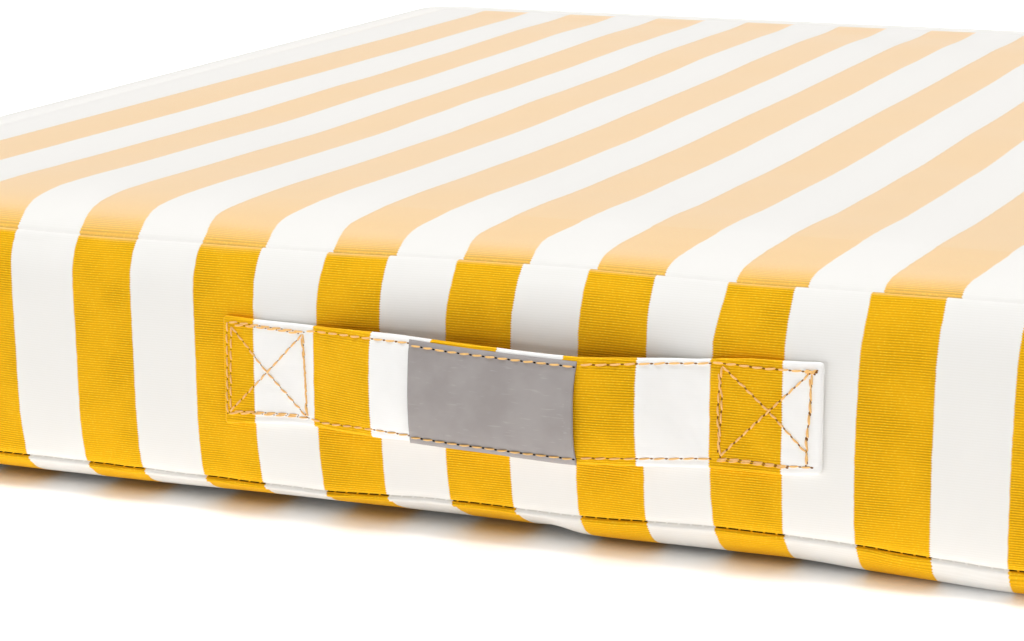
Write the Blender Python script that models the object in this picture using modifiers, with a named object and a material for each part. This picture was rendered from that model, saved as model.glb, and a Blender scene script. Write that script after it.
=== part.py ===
"""Square box cushion for an outdoor seat, with a carrying handle on its front.

The row's frame: the origin is the centre of the cushion's foot, +Z is up, the front is at -Y.
All lengths are in metres.
"""

import math

import bmesh
import bpy
from mathutils import Vector

# Cushion
WIDTH = 0.650
DEPTH = 0.650
CORNER_R = 0.028
GRID = 28
CROWN = 0.0022

# Section through the side, from the foot to the start of the flat top: (inset, height).
SECTION = [
    (0.0260, 0.0000),
    (0.0170, 0.0006),
    (0.0105, 0.0024),
    (0.0060, 0.0054),
    (0.0038, 0.0090),
    (0.0044, 0.0118),
    (0.0020, 0.0146),
    (0.0006, 0.0220),
    (0.0000, 0.0320),
    (0.0000, 0.0430),
    (0.0000, 0.0540),
    (0.0001, 0.0650),
    (0.0009, 0.0750),
    (0.0026, 0.0840),
    (0.0054, 0.0904),
    (0.0076, 0.0930),
    (0.0080, 0.0952),
    (0.0112, 0.0973),
    (0.0180, 0.0988),
    (0.0300, 0.0995),
]

# Handle strap
STRAP_LENGTH = 0.208
STRAP_WIDTH = 0.035
STRAP_T = 0.0024
STRAP_Z = 0.0530
STRAP_FLAT = 0.035
STRAP_BOW = 0.0102
STRAP_CORNER_R = 0.004
SEWN_GAP = 0.00035
STRAP_STEPS = 36

# Label patch
LABEL_LENGTH = 0.058
LABEL_WIDTH = 0.0346
LABEL_T = 0.0011
LABEL_CORNER_R = 0.001
LABEL_STEPS = 14

BED_Y = -DEPTH / 2.0


def clear_scene():
    for obj in list(bpy.data.objects):
        bpy.data.objects.remove(obj, do_unlink=True)


def material(name, colour, roughness):
    mat = bpy.data.materials.new(name)
    mat.use_nodes = True
    shader = mat.node_tree.nodes["Principled BSDF"]
    shader.inputs["Base Color"].default_value = (*colour, 1.0)
    shader.inputs["Roughness"].default_value = roughness
    mat.diffuse_color = (*colour, 1.0)
    return mat


def rounded_square(a, b, half_x, half_y, radius):
    """Put a point of the unit square's rim on a rectangle with round corners.

    a and b run from -1 to 1, and one of them is -1 or 1.
    """
    x = a * half_x
    y = b * half_y
    core_x = half_x - radius
    core_y = half_y - radius
    out_x = abs(x) - core_x
    out_y = abs(y) - core_y
    if out_x <= 0.0 or out_y <= 0.0:
        return x, y
    if abs(a) >= abs(b):
        turn = math.radians(45.0) * out_y / radius
    else:
        turn = math.radians(90.0) - math.radians(45.0) * out_x / radius
    x = math.copysign(core_x + radius * math.cos(turn), x)
    y = math.copysign(core_y + radius * math.sin(turn), y)
    return x, y


def rim_steps(count, half, radius):
    """Even steps along a side, with three shorter ones round each corner."""
    flat = (half - radius) / half
    arc = [flat + (1.0 - flat) * i / 3.0 for i in range(1, 4)]
    inner = [-flat + 2.0 * flat * i / (count - 6) for i in range(count - 5)]
    return [-v for v in reversed(arc)] + inner + arc


def cushion_mesh(name):
    """Side rows follow SECTION; the foot and the top close it with a grid each."""
    mesh = bpy.data.meshes.new(name)
    bm = bmesh.new()
    steps = rim_steps(GRID, WIDTH / 2.0, CORNER_R)
    last = len(steps) - 1
    rim = [(i, 0) for i in range(last)]
    rim += [(last, j) for j in range(last)]
    rim += [(i, last) for i in range(last, 0, -1)]
    rim += [(0, j) for j in range(last, 0, -1)]

    rows = []
    for inset, height in SECTION:
        row = {}
        for i, j in rim:
            x, y = rounded_square(
                steps[i],
                steps[j],
                WIDTH / 2.0 - inset,
                DEPTH / 2.0 - inset,
                max(CORNER_R - inset, 0.006),
            )
            row[(i, j)] = bm.verts.new((x, y, height))
        rows.append(row)

    for low, high in zip(rows, rows[1:]):
        for here, after in zip(rim, rim[1:] + rim[:1]):
            bm.faces.new((low[here], low[after], high[after], high[here]))

    for row, is_top in ((rows[0], False), (rows[-1], True)):
        inset, height = SECTION[-1] if is_top else SECTION[0]
        points = dict(row)
        for i in range(1, last):
            for j in range(1, last):
                x = steps[i] * (WIDTH / 2.0 - inset)
                y = steps[j] * (DEPTH / 2.0 - inset)
                lift = 0.0
                if is_top:
                    lift = CROWN * (1.0 - steps[i] ** 2) ** 0.5 * (1.0 - steps[j] ** 2) ** 0.5
                points[(i, j)] = bm.verts.new((x, y, height + lift))
        for i in range(last):
            for j in range(last):
                corners = [points[(i, j)], points[(i + 1, j)], points[(i + 1, j + 1)], points[(i, j + 1)]]
                if not is_top:
                    corners.reverse()
                bm.faces.new(corners)

    bm.normal_update()
    bm.to_mesh(mesh)
    bm.free()
    return mesh


def bow(x):
    """How far the strap stands off the band at x: flat at the sewn ends, bowed between them."""
    free = STRAP_LENGTH / 2.0 - STRAP_FLAT
    if abs(x) >= free:
        return 0.0
    rise = 0.5 + 0.5 * math.cos(math.pi * x / free)
    return STRAP_BOW * min(1.0, rise * 1.45) ** 0.8


def smooth_bow(x):
    """The bow, averaged over a short length so that the strap has no kink."""
    reach = 0.008
    taps = 9
    total = 0.0
    for k in range(taps):
        total += bow(x - reach + 2.0 * reach * k / (taps - 1))
    return total / taps


def strip_columns(length, radius, steps):
    """Places along a strip, with the half-width cut at each: closer together at its round corners."""
    half = length / 2.0
    near = [0.0, 0.12, 0.4, 1.0]
    ends = [(-half + radius * n, radius * (1.0 - math.sqrt(1.0 - (1.0 - n) ** 2))) for n in near]
    inner = half - radius
    middle = [(-inner + 2.0 * inner * i / steps, 0.0) for i in range(1, steps)]
    return ends + middle + [(-x, cut) for x, cut in reversed(ends)]


def strip_object(name, length, width, thickness, radius, steps, stand_off, mat, home):
    """A strip of cloth standing in front of the band: one sheet, thickened outwards."""
    mesh = bpy.data.meshes.new(name)
    bm = bmesh.new()
    shares = [-1.0, -0.5, 0.0, 0.5, 1.0]
    columns = []
    for x, cut in strip_columns(length, radius, steps):
        y = BED_Y - stand_off - smooth_bow(x)
        half = width / 2.0 - cut
        columns.append([bm.verts.new((x, y, STRAP_Z + s * half)) for s in shares])
    for left, right in zip(columns, columns[1:]):
        for k in range(len(shares) - 1):
            bm.faces.new((left[k], right[k], right[k + 1], left[k + 1]))
    bm.normal_update()
    bm.to_mesh(mesh)
    bm.free()
    obj = bpy.data.objects.new(name, mesh)
    home.objects.link(obj)
    thick = obj.modifiers.new("Thickness", "SOLIDIFY")
    thick.thickness = thickness
    thick.offset = 1.0
    thick.use_even_offset = True
    obj.data.materials.append(mat)
    return obj


def build():
    clear_scene()
    home = bpy.data.collections.new("outdoor_seat_cushion")
    bpy.context.scene.collection.children.link(home)

    striped = material("striped_cloth", (0.86, 0.62, 0.16), 0.9)
    webbing = material("handle_cloth", (0.88, 0.66, 0.22), 0.9)
    grey = material("label_grey", (0.36, 0.33, 0.31), 0.7)

    cushion = bpy.data.objects.new("cushion", cushion_mesh("cushion"))
    home.objects.link(cushion)
    cushion.data.materials.append(striped)

    strip_object(
        "handle_strap",
        STRAP_LENGTH,
        STRAP_WIDTH,
        STRAP_T,
        STRAP_CORNER_R,
        STRAP_STEPS,
        SEWN_GAP,
        webbing,
        home,
    )
    strip_object(
        "label_patch",
        LABEL_LENGTH,
        LABEL_WIDTH,
        LABEL_T,
        LABEL_CORNER_R,
        LABEL_STEPS,
        SEWN_GAP + STRAP_T + SEWN_GAP,
        grey,
        home,
    )


build()
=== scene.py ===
# %% [markdown]
# # Outdoor seat cushion with a carrying handle
#
# The packed model gives the true sizes: a plain soft block, a plain strap and a plain patch.
# This lesson dresses them. We start by loading that model as a fixed frame.

# %% Load the frame
import math

import bpy
import numpy as np
from mathutils import Matrix, Vector, noise


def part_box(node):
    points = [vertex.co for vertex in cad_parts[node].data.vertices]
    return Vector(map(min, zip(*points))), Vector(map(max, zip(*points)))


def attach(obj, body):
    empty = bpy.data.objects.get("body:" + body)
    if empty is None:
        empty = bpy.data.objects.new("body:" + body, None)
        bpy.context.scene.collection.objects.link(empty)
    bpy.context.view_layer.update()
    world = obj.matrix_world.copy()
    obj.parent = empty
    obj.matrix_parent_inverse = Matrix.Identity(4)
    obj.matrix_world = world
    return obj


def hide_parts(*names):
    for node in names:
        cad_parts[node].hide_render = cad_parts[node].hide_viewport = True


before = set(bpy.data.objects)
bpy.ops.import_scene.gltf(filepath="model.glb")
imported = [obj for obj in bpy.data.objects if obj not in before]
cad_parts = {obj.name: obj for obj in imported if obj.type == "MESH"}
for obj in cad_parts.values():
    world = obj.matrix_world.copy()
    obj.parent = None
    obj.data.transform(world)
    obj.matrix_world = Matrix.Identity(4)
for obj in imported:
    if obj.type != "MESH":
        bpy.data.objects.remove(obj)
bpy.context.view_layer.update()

MM = 0.001

# %% [markdown]
# ## Reading the sizes
#
# A box cushion is three kinds of cloth panel round one block of foam. The sizes below come from
# the frame, so the dressed cushion can never drift away from the solid that carries its weight.
# The stripe repeat is the ruler of this cushion: one yellow and one white stripe side by side.

# %% Sizes
low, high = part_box("cushion")
HALF = (high[0] - low[0]) / 2
BED = low[1]
CORNER = 28 * MM
REPEAT = 46.5 * MM
YELLOW_SHARE = 0.485
HANDLE_AT = 5.45  # the handle's middle, in repeats from the first stripe on the left
print("half width %.3f m, front face at y = %.3f m" % (HALF, BED))

# %% [markdown]
# ## The section through the cushion's side
#
# Each row of the table is one ring round the cushion, from the foot up to the edge of the flat
# top: inset and height at the front, inset and height at the other three sides, then the radius
# of the ring's corners, all in millimetres. At the front the top seam lies right on the shoulder.
# On the other sides the band is cut taller and rolls over on to the top, so its seam lies inboard.
# A table like this is easier to match to a real product than sculpting, and stays exact.

# %% Rings of the section
RINGS = [
    (34.0, 0.0, 30.0, 0.0, 12.0),
    (25.0, 1.1, 21.0, 0.9, 16.0),
    (17.0, 3.0, 14.0, 2.6, 19.0),
    (10.5, 5.6, 8.5, 5.2, 22.0),
    (6.4, 8.6, 5.2, 8.4, 24.0),
    (4.0, 11.3, 3.8, 11.3, 25.0),
    (5.4, 12.2, 5.2, 12.2, 25.0),
    (3.2, 12.9, 3.2, 12.9, 26.0),
    (1.8, 17.5, 1.8, 17.5, 27.0),
    (0.8, 24.0, 0.7, 24.0, 28.0),
    (0.2, 32.0, 0.0, 33.0, 28.0),
    (0.0, 41.0, 0.0, 43.0, 28.0),
    (0.1, 50.0, 0.0, 54.0, 28.0),
    (0.3, 59.0, 0.3, 65.0, 28.0),
    (0.6, 68.0, 1.4, 76.0, 28.0),
    (0.9, 75.0, 3.6, 85.0, 27.0),
    (2.1, 81.8, 7.4, 92.0, 25.0),
    (4.1, 86.6, 12.5, 96.8, 22.0),
    (6.2, 89.9, 19.5, 99.9, 16.0),
    (8.2, 92.2, 26.5, 100.4, 10.0),
    (9.4, 92.6, 30.0, 98.9, 8.0),
    (10.0, 93.9, 32.0, 99.5, 8.0),
    (12.6, 95.9, 35.0, 100.0, 8.0),
    (17.5, 97.9, 40.0, 100.2, 8.0),
    (25.0, 99.0, 47.0, 100.1, 8.0),
    (36.0, 99.6, 56.0, 99.9, 8.0),
    (50.0, 99.8, 66.0, 99.8, 8.0),
]
LOWER_SEAM, UPPER_SEAM = 6, 20
LOWER_SEAM_HEIGHT, UPPER_SEAM_HEIGHT = 12 * MM, 93 * MM
print(len(RINGS), "rings in the section")

# %% [markdown]
# ## From rings to a smooth skin
#
# Straight lines between the rings would show as facets. We run a smooth curve through each column
# of the table and take more rows from it, but let the two seams stay sharp by starting a new
# curve there. A subdivision modifier could do this too, but it would also round off the seams.

# %% Smooth rows between the rings
def smooth_run(points, steps):
    """Rows along a curve through the points: a Hermite curve whose slopes never overshoot."""
    points = np.array(points)
    chord = np.maximum(np.linalg.norm(np.diff(points[:, :4], axis=0), axis=1), 1e-6)
    slope = np.diff(points, axis=0) / chord[:, None]
    tangent = np.zeros_like(points)
    tangent[0], tangent[-1] = slope[0], slope[-1]
    for i in range(1, len(points) - 1):
        a, b = slope[i - 1], slope[i]
        same_way = a * b > 0
        tangent[i] = np.where(same_way, 2 * a * b / np.where(same_way, a + b, 1), 0)
    rows = []
    for i in range(len(points) - 1):
        for s in range(steps):
            t = s / steps
            h00, h10 = (1 + 2 * t) * (1 - t) ** 2, t * (1 - t) ** 2
            h01, h11 = t * t * (3 - 2 * t), t * t * (t - 1)
            rows.append(
                h00 * points[i] + h01 * points[i + 1]
                + chord[i] * (h10 * tangent[i] + h11 * tangent[i + 1])
            )
    return rows


STEPS = 2
rows = smooth_run(RINGS[: LOWER_SEAM + 1], STEPS)
lower_row = len(rows)
rows += smooth_run(RINGS[LOWER_SEAM : UPPER_SEAM + 1], STEPS)
upper_row = len(rows)
rows += smooth_run(RINGS[UPPER_SEAM:], STEPS) + [np.array(RINGS[-1])]
rows = np.array(rows) * MM
print(len(rows), "rows, seams at rows", lower_row, "and", upper_row)

# %% [markdown]
# ## Laying the rows round a square
#
# The skin is one closed mesh: a grid for the top, a grid for the underside, and rows of faces
# between them. Both grids share the columns of the sides, so nothing has to be stitched together.
# The columns are even along each side and closer together round the corners.

# %% Columns and rings
COLUMNS = 150
ARC_COLUMNS = 7
FLAT = 1 - CORNER / HALF
FRONT_ZONE = 26 * MM
arc = [FLAT + (1 - FLAT) * (i + 1) / ARC_COLUMNS for i in range(ARC_COLUMNS)]
inner = list(np.linspace(-FLAT, FLAT, COLUMNS - 2 * ARC_COLUMNS + 1))
PLACES = [-v for v in reversed(arc)] + inner + arc  # from -1 at the left end to 1 at the right
LAST = len(PLACES) - 1
RIM = (
    [(i, 0) for i in range(LAST)]
    + [(LAST, j) for j in range(LAST)]
    + [(i, LAST) for i in range(LAST, 0, -1)]
    + [(0, j) for j in range(LAST, 0, -1)]
)


def smoothstep(a, b, x):
    """0 at a, 1 at b and a soft change between; a may be the larger."""
    t = min(max((x - a) / (b - a), 0.0), 1.0)
    return t * t * (3 - 2 * t)


def along_side(place, half, radius):
    """Where a column crosses one side of a ring: distance along it, and distance in from it."""
    reach = min(FLAT * HALF, half - radius)
    if abs(place) <= FLAT:
        return place / FLAT * reach, 0.0
    straight = half - radius - reach
    path = (abs(place) - FLAT) / (1 - FLAT) * (straight + radius * math.pi / 4)
    if path <= straight:
        return math.copysign(reach + path, place), 0.0
    turn = (path - straight) / radius
    return (
        math.copysign(half - radius + radius * math.sin(turn), place),
        radius * (1 - math.cos(turn)),
    )


def ring_point(i, j, row):
    """The point of one ring at column (i, j) of the square's rim."""
    front_inset, front_z, side_inset, side_z, radius = row
    x_half = HALF - side_inset
    y_low, y_high = BED + front_inset, -BED - side_inset
    y_mid, y_half = (y_low + y_high) / 2, (y_high - y_low) / 2
    if j in (0, LAST) and i not in (0, LAST):
        x, inward = along_side(PLACES[i], x_half, radius)
        y = y_mid + math.copysign(y_half - inward, PLACES[j])
    else:
        y, inward = along_side(PLACES[j], y_half, radius)
        x, y = math.copysign(x_half - inward, PLACES[i]), y + y_mid
    front = 1 - smoothstep(0.0, FRONT_ZONE, y - y_low)
    return Vector((x, y, front_z * front + side_z * (1 - front)))


print(len(RIM), "points in each ring")

# %% [markdown]
# ## How the cloth departs from the drawing
#
# A sewn cover is never quite as drawn. The lower seam rises and dips by a millimetre or so, the
# foot lifts more where the filling is soft, and the top sags a little behind its front edge.
# Short tables of (place, amount) hold these, joined by a smooth curve. They are in millimetres,
# but FOOT_ROLL is a share. A touch of noise adds the small unevenness of real foam; it is the same
# in each run, because it depends on nothing but the place.

# %% Unevenness
LOWER_SEAM_RISE = [
    (-190, -0.6), (-112, -0.9), (-67, -1.2), (-22, 0.4), (24, -0.1), (70, 1.6), (116, 0.8),
    (165, -1.6), (240, 0),
]
UPPER_SEAM_RISE = [
    (-240, 0), (-165, -1.4), (-117, -1.0), (-69, -0.6), (-20, 0.5), (26, 0.8), (74, 0.2),
    (145, 0.8), (240, 0),
]
FOOT_ROLL = [
    (-240, 1.0), (-158, 0.95), (-79, 1.1), (0, 1.05), (10, 1.12), (22, 0.78), (74, 0.8),
    (94, 0.8), (114, 0.62), (140, 0.5), (168, 0.38), (240, 0.6),
]
FOOT_LIFT = [
    (-250, 0.0), (-150, 0.6), (-100, 0.9), (-40, 1.3), (2, 1.3), (22, 0.2), (60, 0.3), (240, 0.3),
]
TOP_SAG = [(40, 0), (100, -1.2), (200, -2.6), (300, -2.3), (430, -1.3), (560, 0)]
FRONT_FLATTENING = [
    (9.4, 0), (10, -0.4), (12.6, -0.9), (17, -1.3), (26, -1.5), (37, -0.9), (55, 0),
]
FOOT_INSET = 4.5 * MM
PUCKER_DEPTH, LUMP_HEIGHT = 0.75 * MM, 0.9 * MM
TOP_MARGIN, CROWN_HEIGHT = 60 * MM, 1.0 * MM


def from_table(table, x):
    """A smooth value at x, in the table's own units: a curve through the table's points."""
    if x <= table[0][0]:
        return table[0][1]
    if x >= table[-1][0]:
        return table[-1][1]
    k = next(i for i in range(1, len(table)) if x <= table[i][0])
    (x0, v0), (x1, v1) = table[k - 1], table[k]
    before, after = table[max(k - 2, 0)], table[min(k + 1, len(table) - 1)]
    span = x1 - x0
    slope0 = (v1 - before[1]) / (x1 - before[0]) * span
    slope1 = (after[1] - v0) / (after[0] - x0) * span
    t = (x - x0) / span
    return (
        v0 * (1 + 2 * t) * (1 - t) ** 2 + slope0 * t * (1 - t) ** 2
        + v1 * t * t * (3 - 2 * t) + slope1 * t * t * (t - 1)
    )


def lump(x, y, z, size):
    """Soft noise between -1 and 1, with lumps of about the given size."""
    return noise.noise(Vector((x, y, z)) / size)


def settle(p, row_number):
    """Move one point of the drawn skin to where the cloth of a real cover lies."""
    x, y, z = p
    at_front = 1 - smoothstep(2 * MM, 30 * MM, y - BED - rows[row_number][0])
    if row_number < lower_row - 3:
        roll = from_table(FOOT_ROLL, x / MM) * at_front + (1 - at_front)
        roll += 0.10 * lump(x, y, 0.3, 0.06)
        inset = y - BED
        y += (roll - 1) * max(inset - FOOT_INSET, 0) * at_front
        z += MM * from_table(FOOT_LIFT, x / MM) * at_front * smoothstep(0.5 * MM, 5 * MM, z)
    near_low = math.exp(-(((z - LOWER_SEAM_HEIGHT) / (13 * MM)) ** 2))
    near_low *= smoothstep(0, 8 * MM, z)
    near_top = math.exp(-(((z - UPPER_SEAM_HEIGHT) / (12 * MM)) ** 2))
    near_top *= 1 - smoothstep(10 * MM, 45 * MM, y - BED)
    z += MM * at_front * near_low * from_table(LOWER_SEAM_RISE, x / MM)
    z += MM * at_front * near_top * from_table(UPPER_SEAM_RISE, x / MM)
    pucker = math.exp(-abs(z - LOWER_SEAM_HEIGHT) / (9 * MM)) * smoothstep(1 * MM, 9 * MM, z)
    pucker += 0.45 * math.exp(-abs(z - UPPER_SEAM_HEIGHT) / (10 * MM))
    along = x if at_front > 0.5 else y
    out = PUCKER_DEPTH * pucker * (lump(along, 0, 1.7, 0.011) + 0.5 * lump(along, z, 4.1, 0.023))
    out += LUMP_HEIGHT * lump(x, y, z, 0.07) * smoothstep(4 * MM, 20 * MM, z) * (z < 90 * MM)
    centre = Vector((x, y, 0))
    if row_number < upper_row and centre.length > 0:
        away = Vector((0, -1, 0)) if at_front > 0.5 else centre.normalized()
        x, y = x + away.x * out, y + away.y * out
    return Vector((x, y, z))


def top_height(x, y):
    """What the top panel adds to its drawn height: sag, a slight crown and soft lumps."""
    flatter = from_table(FRONT_FLATTENING, (y - BED) / MM) * MM
    flatter *= smoothstep(-150 * MM, -70 * MM, x) * smoothstep(HALF, HALF - TOP_MARGIN, abs(x))
    edge = min(HALF - TOP_MARGIN - abs(x), y - BED - 40 * MM, -BED - TOP_MARGIN - y)
    inside = smoothstep(0.0, TOP_MARGIN, edge)
    sag = from_table(TOP_SAG, (y - BED) / MM) * MM
    crown = CROWN_HEIGHT * (1 - (x / HALF) ** 2)
    lumps = 0.8 * MM * lump(x, y, 0.9, 0.11) + 0.35 * MM * lump(x, y, 2.9, 0.045)
    return inside * (sag + crown + lumps) + flatter


print("sag 200 mm behind the front: %.1f mm" % from_table(TOP_SAG, 200))

# %% [markdown]
# ## Building the skin
#
# The mesh is made from lists of points and faces, which is quicker than adding them one at a time.
# Each face is tagged with its panel: top, front band, side band or underside. The panels meet at
# the seams, and each will carry its own direction of stripe.

# %% The cushion's mesh
TOP, FRONT, SIDES, UNDER = range(4)
skin_points, skin_faces, skin_panels = [], [], []
ring_ids = []
for number, row in enumerate(rows):
    ring = {}
    for i, j in RIM:
        place = settle(ring_point(i, j, row), number)
        if number > upper_row:
            place.z += top_height(place.x, place.y)
        ring[(i, j)] = len(skin_points)
        skin_points.append(place)
    ring_ids.append(ring)

for number in range(len(rows) - 1):
    low_ring, high_ring = ring_ids[number], ring_ids[number + 1]
    for here, after in zip(RIM, RIM[1:] + RIM[:1]):
        skin_faces.append((low_ring[here], low_ring[after], high_ring[after], high_ring[here]))
        on_front = here[1] == 0 and after[1] == 0 and ARC_COLUMNS <= here[0] < LAST - ARC_COLUMNS
        if number < lower_row:
            skin_panels.append(UNDER)
        elif number >= upper_row:
            skin_panels.append(TOP)
        else:
            skin_panels.append(FRONT if on_front else SIDES)


def fill_grid(ring, is_top):
    """Close the ring with a grid whose inner points lie between the four sides of the rim."""
    at = {key: skin_points[index] for key, index in ring.items()}
    corner = {(i, j): at[(i, j)] for i in (0, LAST) for j in (0, LAST)}
    ids = dict(ring)
    for i in range(1, LAST):
        u = (PLACES[i] + 1) / 2
        for j in range(1, LAST):
            v = (PLACES[j] + 1) / 2
            p = at[(i, 0)] * (1 - v) + at[(i, LAST)] * v
            p = p + (at[(0, j)] * (1 - u) + at[(LAST, j)] * u)
            p = p - (corner[(0, 0)] * (1 - u) + corner[(LAST, 0)] * u) * (1 - v)
            p = p - (corner[(0, LAST)] * (1 - u) + corner[(LAST, LAST)] * u) * v
            p.z = rows[-1][1] + top_height(p.x, p.y) if is_top else 0.0
            ids[(i, j)] = len(skin_points)
            skin_points.append(p)
    for i in range(LAST):
        for j in range(LAST):
            face = (ids[(i, j)], ids[(i + 1, j)], ids[(i + 1, j + 1)], ids[(i, j + 1)])
            skin_faces.append(face if is_top else face[::-1])
            skin_panels.append(TOP if is_top else UNDER)


fill_grid(ring_ids[-1], True)
fill_grid(ring_ids[0], False)


def new_piece(name, points, faces):
    """A smooth mesh object in the scene, from points in metres."""
    mesh = bpy.data.meshes.new(name)
    mesh.from_pydata([tuple(p) for p in points], [], faces)
    mesh.update()
    mesh.polygons.foreach_set("use_smooth", [True] * len(mesh.polygons))
    obj = bpy.data.objects.new(name, mesh)
    bpy.context.scene.collection.objects.link(obj)
    return obj


cushion = new_piece("cushion_cover", skin_points, skin_faces)
cushion_mesh = cushion.data
print("cushion:", len(skin_points), "points,", len(skin_faces), "faces")

# %% [markdown]
# ## Which way the cloth runs
#
# The pattern is woven into the cloth, so each panel needs to know where on the bolt it was cut.
# We store that in a UV map called "cloth": across the stripes in repeats, and along them in
# metres. The stripes run forwards over the top and down the front band, and along the length of
# the side bands. The front band and the top don't quite meet stripe for stripe, because sewing
# machines push the upper layer along.

# %% Where the stripes lie
# Each row: a height, or a distance behind the front, and then the two edges of each yellow
# stripe, all in millimetres.
FRONT_STRIPES = [
    (17, [-253, -230, -207, -183.8, -159.7, -137.4, -113.3, -90.6, -67.3, -44.4, -21.1, 1.6,
          24.4, 47.5, 70.4, 93.6, 116.9, 141.1, 165.4, 189.3, 213, 237]),
    (28, [-253, -230, -207, -184.6, -160.1, -137.4, -113.6, -91.2, -68.2, -44.7, -21.5, 1.4,
          24.4, 47.7, 69.9, 93.8, 116.8, 141.4, 165.6, 189.5, 213, 237]),
    (50, [-254, -231, -208, -185.2, -160.6, -138.0, -113.8, -91.4, -68.3, -45.0, -21.5, 1.5,
          24.6, 47.9, 70.0, 93.7, 116.8, 141.4, 165.8, 190.0, 214, 238]),
    (76, [-256, -232, -210, -186.3, -161.9, -139.0, -114.6, -91.8, -68.6, -45.4, -21.5, 1.7,
          24.8, 48.1, 70.0, 93.6, 117.6, 141.7, 166.4, 190.8, 215, 239]),
    (88, [-257, -234, -211, -187.7, -163.0, -140.0, -115.3, -92.1, -67.7, -45.2, -20.4, 2.5,
          25.5, 48.1, 72.3, 94.2, 118.7, 142.4, 167.3, 191.5, 216, 240]),
]
TOP_STRIPES = [
    (12, [-262, -238, -212.5, -187.9, -163.3, -140.2, -115.1, -91.2, -66.0, -42.8, -18.8, 4.7,
          27.9, 51.0, 74.7, 98.3, 122.4, 146.8, 171, 195, 219, 243]),
    (28, [-268, -243.5, -217.3, -192.2, -166.8, -143.6, -119.1, -94.6, -69.8, -45.2, -21.7, 2.2,
          28.0, 52.2, 76.0, 100.2, 124.5, 149.3, 174.3, 199, 223, 247]),
    (50, [-271, -246, -219.5, -195.0, -168.6, -144.0, -118.0, -93.4, -68.1, -43.5, -19.4, 5.4,
          30.6, 54.3, 78.3, 102.6, 127.1, 151.8, 177, 201.5, 226, 250]),
    (100, [-271.0, -246.0, -220.4, -194.9, -168.6, -143.2, -117.3, -92.3, -66.2, -41.3, -17.5, 6.7,
           31.6, 55.5, 80.6, 104.2, 129.1, 153.8, 178.5, 202.8, 227, 251]),
    (300, [-269.0, -243.0, -218.5, -194.4, -168.5, -144.4, -118.2, -92.5, -66.0, -41.3, -17.7, 6.1,
           30.6, 55.0, 80.7, 104.2, 129.1, 153.8, 178.5, 202.8, 227, 251]),
    (480, [-267.0, -241.0, -217.0, -191.0, -166.5, -140.0, -116.5, -91.0, -66.2, -40.8, -17.2, 6.2,
           31.6, 55.0, 80.7, 104.2, 129.1, 153.8, 178.5, 202.8, 227, 251]),
]
EDGE_REPEATS = [k + share for k in range(11) for share in (0.0, YELLOW_SHARE)]
STRAP_REPEAT, STRAP_YELLOW, STRAP_SHIFT = 46.1, 0.51, -0.9
SIDE_START = YELLOW_SHARE + 0.02
print(len(FRONT_STRIPES[0][1]) // 2, "yellow stripes across the front")


def stripe_at(table, level, x):
    """How many repeats along the cloth the point x lies, in a table of stripe edges (mm)."""
    levels = [row[0] for row in table]
    k = int(np.clip(np.searchsorted(levels, level) - 1, 0, len(table) - 2))
    t = min(max((level - levels[k]) / (levels[k + 1] - levels[k]), 0.0), 1.0)
    edges = [(1 - t) * p + t * q for p, q in zip(table[k][1], table[k + 1][1])]
    if x < edges[0]:
        return (x - edges[0]) / (edges[2] - edges[0])
    if x > edges[-1]:
        return EDGE_REPEATS[-1] + (x - edges[-1]) / (edges[-1] - edges[-3])
    return float(np.interp(x, edges, EDGE_REPEATS))


def front_repeat(x, z):
    """Repeats across the front band at (x, z), in metres."""
    return stripe_at(FRONT_STRIPES, z / MM, x / MM)


def top_repeat(x, y):
    """Repeats across the top panel at (x, y), in metres."""
    return stripe_at(TOP_STRIPES, (y - BED) / MM, x / MM)


def strap_repeat(x):
    """The same for the strap, whose stripes are even: x in metres."""
    whole, part = divmod((x / MM - STRAP_SHIFT) / STRAP_REPEAT + HANDLE_AT, 1.0)
    if part < STRAP_YELLOW:
        return whole + part / STRAP_YELLOW * YELLOW_SHARE
    return whole + YELLOW_SHARE + (part - STRAP_YELLOW) / (1 - STRAP_YELLOW) * (1 - YELLOW_SHARE)


# %% [markdown]
# ## Two maps on the cushion
#
# The "cloth" map puts the woven pattern on each panel. A second map, "seam", says how near a seam
# each point is and how far round the cushion it lies. The cloth uses it to paint shade into the
# seams: a dashed dark line with short breaks at even steps.
# Unwrapping by hand could give such maps too, but formulas keep the stripes true.

# %% Cloth coordinates of the cushion
run_down = {}  # the length of band from the upper seam down to each of its points
for key in RIM:
    total = 0.0
    for number in range(upper_row, lower_row - 1, -1):
        point = skin_points[ring_ids[number][key]]
        if number < upper_row:
            total += (above - point).length
        run_down[ring_ids[number][key]] = total
        above = point

run_round, girth = {}, 0.0  # how far round the cushion each column is, from its front left corner
middle = ring_ids[(lower_row + upper_row) // 2]
for here, after in zip(RIM, RIM[1:] + RIM[:1]):
    run_round[here] = girth
    girth += (skin_points[middle[after]] - skin_points[middle[here]]).length
key_of = {index: key for ring in ring_ids for key, index in ring.items()}
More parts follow.
